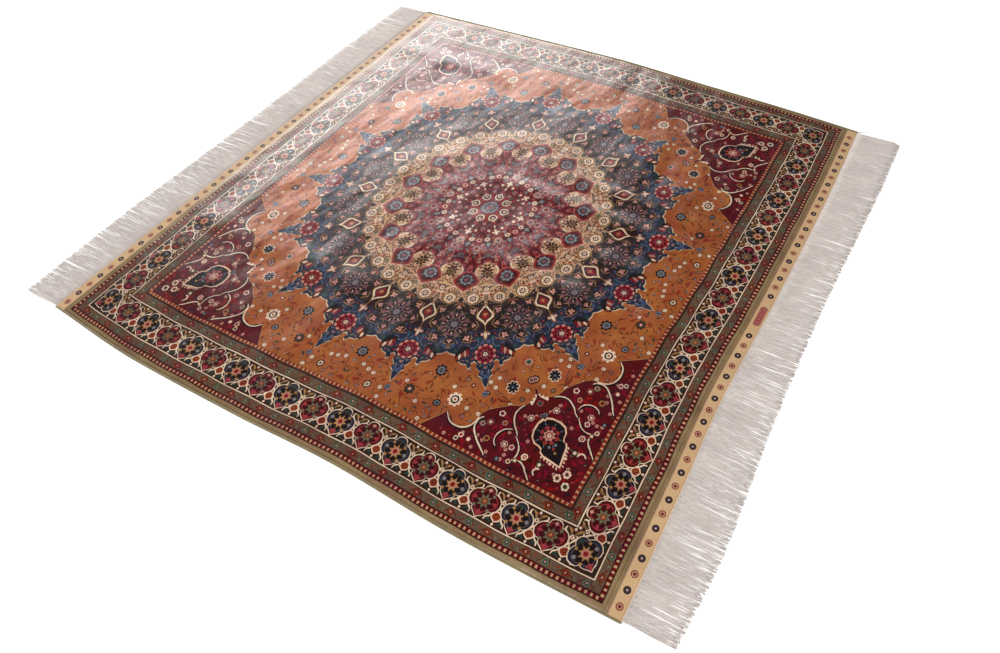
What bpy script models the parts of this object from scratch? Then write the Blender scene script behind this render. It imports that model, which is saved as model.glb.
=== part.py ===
"""A square hand-knotted silk rug lying flat on the floor, with its warp fringes spread out.

Metres, +Z up. +X runs from one fringe to the other, +Y from the near side cord to the far one.
The origin is at the middle of the rug, on the floor. Every piece is first laid out on an even
square, in the flat coordinates (across, along), and then follows the rug's uneven outline and
its low creases through rug_point.
"""

import math
import random

import bpy

# Driving sizes of the even rug, before its outline is bowed
PILE_HALF_ACROSS = 0.750       # middle to the end of the pile, towards a fringe
RUG_HALF_ALONG = 0.750         # middle to the outer face of a side cord
PILE_THICKNESS = 0.004
PILE_RIM_THICKNESS = 0.0028    # the pile is lower at its cut rim
PILE_RIM_WIDTH = 0.004
KILIM_WIDTH = 0.030            # flat-woven end band
KILIM_THICKNESS = 0.002
CORD_WIDTH = 0.0047            # overcast side cord
CORD_HEIGHT = 0.0044
HEADING_WIDTH = 0.0065         # strip in which the warps are gathered
HEADING_THICKNESS = 0.0016
SEAM = 0.0003                  # gap between pieces that touch

# Fringe strands, each a small bunch of warp ends with a flat underside
STRANDS_PER_SIDE = 132
STRAND_WIDTH = 0.0064
STRAND_HEIGHT = 0.0026
STRAND_SECTIONS = (0.30, 0.66, 1.0)      # share of the length at which each section stands
STRAND_TAPER = (1.0, 0.9, 0.5)           # width of each section, as a share of STRAND_WIDTH
STRAND_WANDER = 0.0016
STRAND_RAGGED = 0.009

# Loose thread at the far right corner, where the side cord is tied off
THREAD_WIDTH = 0.0022
THREAD_ROUTE = (                         # across, along, measured from the end of the cord
    (0.004, 0.0020),
    (0.010, 0.0065),
    (0.017, 0.0085),
    (0.025, 0.0060),
    (0.032, 0.0075),
)

# How far each edge stands out from the even square: place along the edge, distance outwards
FAR_BOW = ((-0.78, 0.004), (-0.40, 0.012), (-0.02, 0.019), (0.28, 0.005), (0.55, -0.008), (0.78, -0.025))
NEAR_BOW = ((-0.78, 0.001), (-0.45, 0.019), (-0.15, 0.015), (0.13, 0.005), (0.42, 0.011), (0.78, 0.003))
RIGHT_BOW = ((-0.75, 0.005), (-0.45, -0.002), (-0.27, -0.008), (0.05, 0.003), (0.45, 0.009), (0.75, 0.005))
LEFT_BOW = ((-0.75, -0.002), (-0.10, 0.001), (0.40, 0.000), (0.75, -0.001))

# How far the tips of the longest strands reach from the middle: place along the edge, reach
RIGHT_REACH = ((-0.74, 0.886), (-0.55, 0.898), (-0.25, 0.888), (0.0, 0.887), (0.30, 0.896), (0.56, 0.906))
LEFT_REACH = ((-0.74, 0.897), (-0.40, 0.906), (0.0, 0.902), (0.45, 0.905), (0.74, 0.898))

# Low creases left from folding: along, height, half width, and the stretch across that each takes
CREASES = (
    (0.275, 0.0028, 0.042, 0.28, 0.78),
    (0.195, 0.0034, 0.045, 0.08, 0.78),
    (0.105, 0.0040, 0.048, -0.12, 0.78),
    (-0.020, 0.0030, 0.052, 0.18, 0.78),
    (-0.150, 0.0036, 0.052, -0.06, 0.78),
    (0.520, 0.0040, 0.060, -0.78, -0.22),
    (-0.350, 0.0026, 0.065, -0.78, 0.05),
)
CREASE_RUN_OUT = 0.20          # length over which a crease dies away inside the rug
EDGE_REST_START = 0.70         # from here out to the fringe the creases press flat
EDGE_REST_END = 0.782

GRID_COLUMNS = 16
GRID_ROWS = 46


def clear_scene():
    for old in list(bpy.data.objects):
        bpy.data.objects.remove(old, do_unlink=True)


def make_material(name, colour, roughness, metallic=0.0):
    material = bpy.data.materials.new(name)
    material.use_nodes = True
    shader = material.node_tree.nodes["Principled BSDF"]
    shader.inputs["Base Color"].default_value = (*colour, 1.0)
    shader.inputs["Roughness"].default_value = roughness
    shader.inputs["Metallic"].default_value = metallic
    return material


def through(rows, place):
    """A smooth curve through rows of (place, value) that never passes beyond the rows' own peaks."""
    if place <= rows[0][0]:
        return rows[0][1]
    if place >= rows[-1][0]:
        return rows[-1][1]
    secants = [(b[1] - a[1]) / (b[0] - a[0]) for a, b in zip(rows, rows[1:])]
    slopes = [secants[0]]
    for before, after in zip(secants, secants[1:]):
        together = before * after > 0.0
        slopes.append(2.0 * before * after / (before + after) if together else 0.0)
    slopes.append(secants[-1])
    span = max(i for i in range(len(secants)) if rows[i][0] <= place)
    width = rows[span + 1][0] - rows[span][0]
    f = (place - rows[span][0]) / width
    blend = f * f * (3.0 - 2.0 * f)
    bend_in = slopes[span] * width * f * (1.0 - f) ** 2
    bend_out = slopes[span + 1] * width * f * f * (f - 1.0)
    return rows[span][1] * (1.0 - blend) + rows[span + 1][1] * blend + bend_in + bend_out


def ramp(low, high, value):
    f = min(1.0, max(0.0, (value - low) / (high - low)))
    return f * f * (3.0 - 2.0 * f)


def crease_lift(across, along):
    """Height of the rug's underside above the floor: zero over most of it, raised at each crease."""
    lift = 0.0
    for middle, height, half_width, start, end in CREASES:
        off = abs(along - middle) / half_width
        if off >= 1.0:
            continue
        reach = ramp(start, start + CREASE_RUN_OUT, across) if end > 0.5 else 1.0
        reach *= 1.0 - ramp(end - CREASE_RUN_OUT, end, across) if end < 0.5 else 1.0
        lift += height * reach * 0.5 * (1.0 + math.cos(math.pi * off))
    return lift * (1.0 - ramp(EDGE_REST_START, EDGE_REST_END, abs(across)))


def rug_point(across, along, height=0.0):
    """Real place of a point of the even rug, at a height above the rug's underside."""
    to_far = along / (2.0 * RUG_HALF_ALONG) + 0.5
    to_right = min(1.0, across / (2.0 * PILE_HALF_ACROSS) + 0.5)
    x = across + through(RIGHT_BOW, along) * to_right - through(LEFT_BOW, along) * (1.0 - to_right)
    y = along + through(FAR_BOW, across) * to_far - through(NEAR_BOW, across) * (1.0 - to_far)
    return (x, y, crease_lift(across, along) + height)


def add_solid(name, points, faces, material, smooth=False):
    mesh = bpy.data.meshes.new(name)
    mesh.from_pydata(points, [], faces)
    mesh.validate()
    if smooth:
        mesh.shade_smooth()
        mesh.set_sharp_from_angle(angle=math.radians(50.0))
    mesh.materials.append(material)
    solid = bpy.data.objects.new(name, mesh)
    bpy.context.scene.collection.objects.link(solid)
    return solid


def even_steps(low, high, count):
    return [low + (high - low) * i / count for i in range(count + 1)]


def pile_columns():
    """Grid lines across the pile, from its left end to its right end."""
    inside = PILE_HALF_ACROSS - PILE_RIM_WIDTH
    return [-PILE_HALF_ACROSS] + even_steps(-inside, inside, GRID_COLUMNS) + [PILE_HALF_ACROSS]


def pile_rows():
    """Grid lines along the pile and the end bands, from the near side cord to the far one."""
    half_along = RUG_HALF_ALONG - CORD_WIDTH - SEAM
    inside = half_along - PILE_RIM_WIDTH
    return [-half_along] + even_steps(-inside, inside, GRID_ROWS) + [half_along]


def band_columns(side):
    """Grid lines across an end band, from left to right."""
    return sorted(side * a for a in even_steps(PILE_HALF_ACROSS + SEAM, PILE_HALF_ACROSS + KILIM_WIDTH, 2))


def add_slab(name, columns, rows, top_height, material):
    """A closed slab over a grid: columns and rows are flat coordinates, top_height gives its thickness."""
    wide = len(columns)
    points = [rug_point(a, b, 0.0) for b in rows for a in columns]
    points += [rug_point(a, b, top_height(a, b)) for b in rows for a in columns]
    above = wide * len(rows)
    faces = []
    for j in range(len(rows) - 1):
        for i in range(wide - 1):
            corner = j * wide + i
            quad = (corner, corner + 1, corner + wide + 1, corner + wide)
            faces.append(tuple(reversed(quad)))
            faces.append(tuple(k + above for k in quad))
    last_row = (len(rows) - 1) * wide
    rim = [i for i in range(wide)]
    rim += [j * wide + wide - 1 for j in range(1, len(rows))]
    rim += [last_row + i for i in range(wide - 2, -1, -1)]
    rim += [j * wide for j in range(len(rows) - 2, 0, -1)]
    for a, b in zip(rim, rim[1:] + rim[:1]):
        faces.append((a, b, b + above, a + above))
    return add_solid(name, points, faces, material)


def add_pile(material):
    """The knotted body. Its top drops a little at the rim, where the pile is sheared."""
    columns = pile_columns()
    rows = pile_rows()

    def top_height(across, along):
        at_rim = across in (columns[0], columns[-1]) or along in (rows[0], rows[-1])
        return PILE_RIM_THICKNESS if at_rim else PILE_THICKNESS

    return add_slab("pile_body", columns, rows, top_height, material)


def add_kilim(name, side, material):
    """The flat-woven band between the pile and a fringe. side is 1 on the right and -1 on the left."""
    return add_slab(name, band_columns(side), pile_rows(), lambda across, along: KILIM_THICKNESS, material)


def add_side_cord(name, side, material, thread_route=()):
    """The overcast cord along an unfringed side. side is 1 on the far side and -1 on the near one."""
    section = (                          # share of the width, share of the height, going round
        (0.18, 0.0), (0.80, 0.0), (1.0, 0.45), (0.78, 0.94), (0.25, 1.0), (0.0, 0.5),
    )
    half_length = PILE_HALF_ACROSS + KILIM_WIDTH
    inner = RUG_HALF_ALONG - CORD_WIDTH
    sections = []
    for across in band_columns(-1) + pile_columns() + band_columns(1):
        ring = [rug_point(across, side * (inner + u * CORD_WIDTH), v * CORD_HEIGHT) for u, v in section]
        sections.append(ring)
    end_x, end_y, _ = rug_point(half_length, side * (inner + 0.5 * CORD_WIDTH))
    for step_x, step_y in thread_route:
        ring = []
        for u, v in section:
            y = end_y + side * (step_y + (u - 0.5) * THREAD_WIDTH)
            ring.append((end_x + step_x, y, v * THREAD_WIDTH))
        sections.append(ring)
    points = [point for ring in sections for point in ring]
    sides = len(section)
    faces = []
    for k in range(len(sections) - 1):
        for i in range(sides):
            a = k * sides + i
            b = k * sides + (i + 1) % sides
            faces.append((a, b, b + sides, a + sides))
    faces.append(tuple(reversed(range(sides))))
    faces.append(tuple(range(len(points) - sides, len(points))))
    if side < 0:
        faces = [tuple(reversed(face)) for face in faces]
    return add_solid(name, points, faces, material, smooth=True)


def add_fringe(name, side, reach_rows, seed, material):
    """A heading strip with three-sided strands that grow out of its outer wall and lie on the floor."""
    dice = random.Random(seed)
    half_along = RUG_HALF_ALONG - 0.006
    inner = PILE_HALF_ACROSS + KILIM_WIDTH + SEAM
    outer = inner + HEADING_WIDTH
    pitch = 2.0 * half_along / STRANDS_PER_SIDE
    points = []
    faces = []

    def put(across, along, height):
        points.append(rug_point(side * across, along, height))
        return len(points) - 1

    def edge_column(along):
        low = put(inner, along, 0.0)
        high = put(inner, along, HEADING_THICKNESS)
        return low, high

    end_low = put(outer, -half_along, 0.0)
    end_high = put(outer, -half_along, HEADING_THICKNESS)
    first = (*edge_column(-half_along), end_low, end_high)
    faces.append((first[0], first[2], first[3], first[1]))
    back_low, back_high, last_low, last_high = first
    for i in range(STRANDS_PER_SIDE):
        middle = -half_along + (i + 0.5) * pitch
        left = put(outer, middle - 0.5 * STRAND_WIDTH, 0.0)
        right = put(outer, middle + 0.5 * STRAND_WIDTH, 0.0)
        ridge = put(outer, middle, HEADING_THICKNESS)
        next_low, next_high = edge_column(middle)
        faces.append((last_low, left, ridge, last_high))
        faces.append((back_low, next_low, right, left, last_low))
        faces.append((back_high, last_high, ridge, next_high))
        faces.append((back_low, back_high, next_high, next_low))
        add_strand(points, faces, (left, right, ridge), side, middle, reach_rows, dice)
        back_low, back_high, last_low, last_high = next_low, next_high, right, ridge
    end_low = put(outer, half_along, 0.0)
    end_high = put(outer, half_along, HEADING_THICKNESS)
    next_low, next_high = edge_column(half_along)
    faces.append((last_low, end_low, end_high, last_high))
    faces.append((back_low, next_low, end_low, last_low))
    faces.append((back_high, last_high, end_high, next_high))
    faces.append((back_low, back_high, next_high, next_low))
    faces.append((next_low, next_high, end_high, end_low))
    if side < 0:
        faces = [tuple(reversed(face)) for face in faces]
    return add_solid(name, points, faces, material)


def add_strand(points, faces, root, side, along, reach_rows, dice):
    """One bunch of warp ends: flat underneath, ridged above, swaying with its neighbours."""
    root_x, root_y, _ = rug_point(side * (PILE_HALF_ACROSS + KILIM_WIDTH + HEADING_WIDTH), along)
    length = through(reach_rows, along) - abs(root_x) - dice.random() ** 2 * STRAND_RAGGED
    ring = root
    for share, taper in zip(STRAND_SECTIONS, STRAND_TAPER):
        sway = 0.0035 * share * math.sin(along * 9.0 + side) + 0.002 * share * math.sin(along * 31.0)
        y = root_y + sway + dice.uniform(-STRAND_WANDER, STRAND_WANDER)
        x = root_x + side * length * share
        half = 0.5 * STRAND_WIDTH * taper
        base = len(points)
        points.append((x, y - half, 0.0))
        points.append((x, y + half, 0.0))
        points.append((x, y, STRAND_HEIGHT * taper))
        nxt = (base, base + 1, base + 2)
        faces.append((ring[0], ring[1], nxt[1], nxt[0]))
        faces.append((ring[1], ring[2], nxt[2], nxt[1]))
        faces.append((ring[2], ring[0], nxt[0], nxt[2]))
        ring = nxt
    faces.append(ring)


def build_rug():
    clear_scene()
    silk_pile = make_material("knotted silk", (0.30, 0.09, 0.06), 0.55)
    band_weave = make_material("flat-woven band", (0.66, 0.47, 0.26), 0.75)
    overcast = make_material("overcast edge", (0.22, 0.17, 0.09), 0.70)
    warp_ends = make_material("warp ends", (0.72, 0.66, 0.62), 0.80)
    add_pile(silk_pile)
    add_kilim("kilim_left", -1, band_weave)
    add_kilim("kilim_right", 1, band_weave)
    add_side_cord("selvedge_near", -1, overcast)
    add_side_cord("selvedge_far", 1, overcast, THREAD_ROUTE)
    add_fringe("fringe_left", -1, LEFT_REACH, 11, warp_ends)
    add_fringe("fringe_right", 1, RIGHT_REACH, 23, warp_ends)


build_rug()
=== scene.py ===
import math
import random

import bpy
import numpy as np
from mathutils import Matrix, Vector
from mathutils.geometry import delaunay_2d_cdt


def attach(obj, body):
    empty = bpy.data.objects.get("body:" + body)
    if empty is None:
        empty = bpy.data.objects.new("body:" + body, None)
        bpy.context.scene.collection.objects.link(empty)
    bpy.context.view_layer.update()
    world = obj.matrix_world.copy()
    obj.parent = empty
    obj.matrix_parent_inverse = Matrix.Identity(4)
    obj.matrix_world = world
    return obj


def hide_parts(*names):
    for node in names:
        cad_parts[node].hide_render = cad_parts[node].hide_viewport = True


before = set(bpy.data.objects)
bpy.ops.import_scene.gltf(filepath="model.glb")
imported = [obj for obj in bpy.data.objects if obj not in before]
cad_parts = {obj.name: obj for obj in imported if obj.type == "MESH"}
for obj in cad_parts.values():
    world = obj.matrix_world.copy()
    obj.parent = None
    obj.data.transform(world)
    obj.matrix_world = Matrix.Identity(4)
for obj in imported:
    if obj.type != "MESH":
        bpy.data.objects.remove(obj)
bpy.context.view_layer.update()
random.seed(4)

# sizes and bows of the real rug, in metres, as its solids have them
rug = {
    "half": 0.750,
    "pile": 0.004,
    "pileRim": 0.0028,
    "rimWidth": 0.004,
    "band": 0.030,
    "bandThick": 0.002,
    "cordWidth": 0.0047,
    "cordHeight": 0.0044,
    "farBow": ((-0.78, 0.004), (-0.40, 0.012), (-0.02, 0.019), (0.28, 0.005), (0.55, -0.008), (0.78, -0.025)),
    "nearBow": ((-0.78, 0.001), (-0.45, 0.019), (-0.15, 0.015), (0.13, 0.005), (0.42, 0.011), (0.78, 0.003)),
    "rightBow": (
        (-0.75, 0.005), (-0.45, -0.002), (-0.27, -0.008), (0.05, 0.003), (0.45, 0.009), (0.75, 0.005),
    ),
    "leftBow": ((-0.75, -0.002), (-0.10, 0.001), (0.40, 0.000), (0.75, -0.001)),
    # each crease: along, height, half width, and the stretch across that it takes
    "creases": (
        (0.275, 0.0028, 0.042, 0.28, 0.78),
        (0.195, 0.0034, 0.045, 0.08, 0.78),
        (0.105, 0.0040, 0.048, -0.12, 0.78),
        (-0.020, 0.0030, 0.052, 0.18, 0.78),
        (-0.150, 0.0036, 0.052, -0.06, 0.78),
        (0.520, 0.0040, 0.060, -0.78, -0.22),
        (-0.350, 0.0026, 0.065, -0.78, 0.05),
    ),
    "runOut": 0.20,
    "restStart": 0.70,
    "restEnd": 0.782,
}


def through(rows, place):
    # a smooth curve through rows of (place, value) that never passes beyond their own peaks
    xs, ys = np.array(rows, float).T
    place = np.clip(place, xs[0], xs[-1])
    width = np.diff(xs)
    rise = np.diff(ys) / width
    slopes = [rise[0]]
    for before, after in zip(rise, rise[1:]):
        slopes.append(2 * before * after / (before + after) if before * after > 0 else 0.0)
    slopes = np.array(slopes + [rise[-1]])
    span = np.clip(np.searchsorted(xs, place, side="right") - 1, 0, len(width) - 1)
    f = (place - xs[span]) / width[span]
    blend = f * f * (3 - 2 * f)
    bend = slopes[span] * f * (1 - f) ** 2 + slopes[span + 1] * f * f * (f - 1)
    return ys[span] * (1 - blend) + ys[span + 1] * blend + bend * width[span]


def ramp(low, high, value):
    f = np.clip((value - low) / (high - low), 0, 1)
    return f * f * (3 - 2 * f)


def creaseLift(across, along):
    lift = np.zeros_like(across)
    for middle, height, half, start, end in rug["creases"]:
        off = np.minimum(np.abs(along - middle) / half, 1)
        reach = ramp(start, start + rug["runOut"], across) if end > 0.5 else 1.0
        if end < 0.5:
            reach = 1.0 - ramp(end - rug["runOut"], end, across)
        lift += height * reach * 0.5 * (1 + np.cos(math.pi * off))
    return lift * (1 - ramp(rug["restStart"], rug["restEnd"], np.abs(across)))


def rugPoints(flat, height=0.0):
    # flat places in metres, as an array of (across, along), to real points of the lying rug
    across, along = np.asarray(flat, float).T
    toFar = along / (2 * rug["half"]) + 0.5
    toRight = np.minimum(1, across / (2 * rug["half"]) + 0.5)
    x = across + through(rug["rightBow"], along) * toRight - through(rug["leftBow"], along) * (1 - toRight)
    y = along + through(rug["farBow"], across) * toFar - through(rug["nearBow"], across) * (1 - toFar)
    return np.column_stack((x, y, creaseLift(across, along) + height))


# dyes of the silk, in sRGB
def tint(red, green, blue):
    share = [v / 255 for v in (red, green, blue)]
    return tuple(v / 12.92 if v <= 0.04045 else ((v + 0.055) / 1.055) ** 2.4 for v in share)


dyes = {
    "ivory": (212, 184, 158),
    "cream": (180, 138, 106),
    "copper": (148, 80, 42),
    "rust": (122, 46, 26),
    "crimson": (116, 10, 24),
    "garnet": (74, 7, 15),
    "wine": (54, 6, 12),
    "aubergine": (32, 9, 14),
    "night": (18, 9, 12),
    "navy": (26, 31, 50),
    "blue": (55, 67, 92),
    "mist": (112, 112, 116),
    "lilac": (104, 76, 84),
    "teal": (32, 56, 50),
    "sage": (98, 94, 70),
    "olive": (92, 74, 48),
    "bark": (44, 24, 16),
    "rose": (140, 50, 54),
    "blush": (178, 122, 108),
    "gold": (150, 110, 66),
    "clay": (86, 64, 52),
    "flax": (196, 160, 118),
    "edge": (134, 110, 80),
    "back": (120, 84, 62),
}
dyeNames = list(dyes)


# drawing: outlines in millimetres
def curve(route, steps):
    # a smooth line through a few points
    route = np.array(route, float)
    last = len(route) - 1
    line = []
    for i in range(last):
        a, b, c, d = (route[min(max(i + k, 0), last)] for k in (-1, 0, 1, 2))
        for f in np.arange(steps) / steps:
            line.append(b + 0.5 * f * (c - a + f * (2 * a - 5 * b + 4 * c - d + f * (3 * (b - c) + d - a))))
    line.append(route[-1])
    return np.array(line)


def ribbon(route, width, steps, ends=0.3):
    # a stroke along a line, thinner towards its ends
    line = curve(route, steps)
    ahead = np.gradient(line, axis=0)
    ahead /= np.linalg.norm(ahead, axis=1)[:, None] + 1e-9
    side = np.column_stack((-ahead[:, 1], ahead[:, 0]))
    half = 0.5 * width * (ends + (1 - ends) * np.sin(math.pi * np.linspace(0, 1, len(line))) ** 0.5)
    return np.vstack((line + side * half[:, None], (line - side * half[:, None])[::-1]))


def polar(rows):
    angle, radius = np.array(rows, float).T
    return np.column_stack((radius * np.sin(angle), radius * np.cos(angle)))


def disc(radius, sides):
    return polar([(2 * math.pi * k / sides, radius) for k in range(sides)])


def petals(count, tip, valley, full=0.55, turn=0.0):
    step = 2 * math.pi / count
    rows = []
    for k in range(count):
        a = turn + k * step
        rows.append((a - 0.5 * step, valley))
        rows.append((a - 0.5 * step * full, tip * 0.94))
        if tip > 12:
            rows.append((a, tip))
        rows.append((a + 0.5 * step * full, tip * 0.94))
    return polar(rows)


def spikes(count, tip, valley, turn=0.0):
    step = math.pi / count
    return polar([(turn + k * step, valley if k % 2 else tip) for k in range(2 * count)])


def paired(half):
    # closes an outline given by its right half, from the foot up
    half = np.array(half, float)
    left = half[::-1] * (-1, 1)
    return np.vstack((half, left[np.abs(left[:, 0]) > 1e-6]))


def plate(halfWide, halfHigh=None):
    b = halfHigh or halfWide
    return np.array([(-halfWide, -b), (halfWide, -b), (halfWide, b), (-halfWide, b)], float)


def diamond(wide, high):
    return 0.5 * np.array([(0, -high), (wide, 0), (0, high), (-wide, 0)], float)


def bloom(radius, colours, count=8):
    # a flower with up to three rings in its heart
    shapes = [(colours[0], petals(count, radius, radius * 0.7))]
    for share, dye in zip((0.60, 0.38, 0.18), colours[1:]):
        shapes.append((dye, disc(radius * share, 8 if radius * share > 4 else 6)))
    return shapes


def leaf(length, width, bend=0.0):
    half = 0.5 * width
    return np.array([
        (0, 0),
        (half * 0.8 + bend * 0.1, length * 0.25),
        (half + bend * 0.35, length * 0.55),
        (bend, length),
        (-half + bend * 0.35, length * 0.5),
        (-half * 0.7 + bend * 0.1, length * 0.2),
    ])


def stacked(outline, rows):
    # one outline in several dyes, each smaller than the last; rows of (dye, size)
    return [(dye, outline * size) for dye, size in rows]


def mirrored(shapes, side, size=1.0):
    return [(dye, outline * (side * size, size)) for dye, outline in shapes]


def spot(count, tip, valley, dye, heart, radius, sides=4):
    # a small flower with one eye
    return [(dye, petals(count, tip, valley)), (heart, disc(radius, sides))]


def moved(shapes, x=0.0, y=0.0, turn=0.0, size=1.0):
    spun = spin(turn) * size
    return [(dye, outline @ spun.T + (x, y)) for dye, outline in shapes]


# repeats: ways are pairs of a turning matrix and an offset
def spin(degrees):
    a = math.radians(degrees)
    return np.array([[math.cos(a), -math.sin(a)], [math.sin(a), math.cos(a)]])


home = [(np.eye(2), np.zeros(2))]
quarterTurns = [spin(90 * k) for k in range(4)]
overDiagonal = np.array([[0.0, -1.0], [-1.0, 0.0]])
eightWays = [(m, np.zeros(2)) for m in quarterTurns + [m @ overDiagonal for m in quarterTurns]]
fourWays = eightWays[:4]


def wheel(count, radius, aside, start, tilt, pairs):
    # places round the middle, each facing outwards; aside gives mirrored pairs beside each spoke
    places = []
    for k in range(count):
        for side in (1, -1) if aside or pairs else (1,):
            angle = start + k * 360 / count + side * aside
            matrix = spin(angle - 90) @ np.diag((side, 1)) @ spin(tilt)
            a = math.radians(angle)
            places.append((matrix, radius * np.array((math.cos(a), math.sin(a)))))
    return places


def corners(x, w, facing=-45.0):
    # the same place near each corner, given at the near right one; both sides of the diagonal
    ways = eightWays if abs(x - w) > 1.5 else fourWays
    place = np.array((x, -w), float)
    matrix = spin(facing - 90)
    return [(m @ matrix, m @ place) for m, _ in ways]


def roundOutline(rows, count, start, grow):
    # an outline repeated round the middle, given as (degrees from the spoke, radius) for half a wedge
    line = []
    for k in range(count):
        spoke = start + k * 360 / count
        half = [(spoke + a, r + grow) for a, r in rows]
        back = [(spoke - a, r + grow) for a, r in rows if 0 < a < 180 / count - 1e-6]
        line += back[::-1] + half
    return np.array([(r * math.cos(math.radians(a)), r * math.sin(math.radians(a))) for a, r in line])


def edged(rows, steps, count=16, start=0.0):
    # a round outline in several dyes, each smaller than the last; steps of (dye, growth)
    return [(dye, roundOutline(rows, count, start, grow)) for dye, grow in steps]


def lay(pattern, shapes, places=home):
    for dye, outline in shapes:
        outline = np.asarray(outline, float)
        for matrix, offset in places:
            pattern.append((dye, outline @ matrix.T + offset))


def tell(stage, pattern):
    print(f"{stage}: {len(pattern)} shapes, {sum(len(outline) for _, outline in pattern)} points")


def sprinkle(pattern, kinds, ways, count, gap, pick, taken=()):
    # small motifs over a ground, kept clear of each other and of the places already taken
    spots = [(x, y, r) for x, y, r in taken]
    for _ in range(count):
        x, y = pick()
        if all((x - a) ** 2 + (y - b) ** 2 > (gap + r) ** 2 for a, b, r in spots):
            spots.append((x, y, 0.0))
            lay(pattern, moved(random.choice(kinds), x, y, random.uniform(0, 360)), ways)


# turning a drawn pattern into a sheet
def within(outline, points):
    inside = np.zeros(len(points), bool)
    x, y = points.T
    for (ax, ay), (bx, by) in zip(outline, np.roll(outline, -1, axis=0)):
        if ay != by:
            inside ^= ((ay > y) != (by > y)) & (x < ax + (y - ay) * (bx - ax) / (by - ay))
    return inside


def leaveOutHidden(pattern):
    # shapes that lie wholly under a later one need not be woven
    boxes = np.array([(*outline.min(0), *-outline.max(0)) for _, outline in pattern])
    sizes = np.array([len(outline) for _, outline in pattern])
    seen = np.ones(len(pattern), bool)
    for k, (_, cover) in enumerate(pattern):
        if min(-boxes[k, 2] - boxes[k, 0], -boxes[k, 3] - boxes[k, 1]) < 4:
            continue  # too small to hide another
        under = np.flatnonzero(seen[:k] & np.all(boxes[:k] > boxes[k], axis=1))
        if len(under):
            inside = within(cover, np.vstack([pattern[i][1] for i in under]))
            first = np.cumsum(sizes[under]) - sizes[under]
            seen[under] = ~np.logical_and.reduceat(inside, first)
    return [shape for shape, kept in zip(pattern, seen) if kept]


def divided(outline, longest):
    ahead = np.roll(outline, -1, axis=0) - outline
    parts = np.ceil(np.hypot(*ahead.T) / longest).astype(int)
    if parts.max() <= 1:
        return outline
    rows = [a + s * k / n for a, s, n in zip(outline, ahead, parts) for k in range(max(n, 1))]
    return np.array(rows)


def handDrift(points):
    # the weaver's hand: lines wander a little, so that no two motifs are quite alike
    x, y = points.T
    dx = 0.32 * np.sin(0.83 * x + 1.9 * np.sin(0.21 * y)) + 0.8 * np.sin(0.031 * x + 0.047 * y)
    dy = 0.32 * np.sin(0.79 * y + 1.7 * np.sin(0.23 * x)) + 0.8 * np.sin(0.043 * x - 0.029 * y)
    inside = 1 - ramp(735, 744, np.abs(points).max(1))  # the pile's rim stays as it is drawn
    return np.column_stack((dx, dy)) * inside[:, None]


backHeight = 0.0002  # of a sheet's back above the floor
gridShift = {"top": 0.13, "back": 0.17}  # keeps the grid's points off the drawn lines


def gridOver(points, step):
    # an even grid inside the box of some points, which keeps the triangles small
    low, high = points.min(0), points.max(0)
    counts = [max(1, int(round(s / step))) for s in high - low]
    grid = np.meshgrid(*[np.linspace(a, b, n + 1)[1:-1] for a, b, n in zip(low, high, counts)])
    return np.stack(grid, -1).reshape(-1, 2)


def cutPattern(pattern, gridStep):
    # returns points, triangles and the dye of each; the topmost shape wins, and dye None is a hole
    points, loops = [], []
    count = 0
    pattern = [(dye, np.asarray(outline, float)) for dye, outline in pattern]
    pattern = pattern[:1] + leaveOutHidden(pattern[1:])
    for _, outline in pattern:
        outline = divided(outline, gridStep * 1.1)
        x, y = outline.T
        if np.sum(x * np.roll(y, -1) - y * np.roll(x, -1)) < 0:
            outline = outline[::-1]
        loops.append(list(range(count, count + len(outline))))
        points.append(outline)
        count += len(outline)
    points = np.vstack(points + [gridOver(points[0], gridStep) + gridShift["top"]])
    points = points + handDrift(points)
    cut = delaunay_2d_cdt([Vector(p) for p in points], [], loops, 0, 1e-5, True)
    names = [dyeNames.index(dye) if dye else -1 for dye, _ in pattern]
    kept = [(tri, names[max(o)]) for tri, o in zip(cut[2], cut[5]) if 0 in o and names[max(o)] >= 0]
    spots = np.array([tuple(v) for v in cut[0]])
    triangles = np.array([k[0] for k in kept])
    a, b, c = (spots[triangles[:, k]] for k in range(3))
    ab, ac = b - a, c - a
    area = ab[:, 0] * ac[:, 1] - ab[:, 1] * ac[:, 0]
    triangles[area < 0] = triangles[area < 0][:, ::-1]
    sound = np.abs(area) > 1e-7
    return spots, triangles[sound], np.array([k[1] for k in kept])[sound]


def rimLoops(triangles):
    # the edges that only one triangle has, chained into loops
    edges = np.vstack((triangles[:, (0, 1)], triangles[:, (1, 2)], triangles[:, (2, 0)]))
    known = {(a, b) for a, b in edges.tolist()}
    follow = {a: b for a, b in known if (b, a) not in known}
    loops = []
    while follow:
        start, at = follow.popitem()
        loop = [start]
        while at != start:
            loop.append(at)
            at = follow.pop(at)
        loops.append(loop)
    return sorted(loops, key=len, reverse=True)


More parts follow.
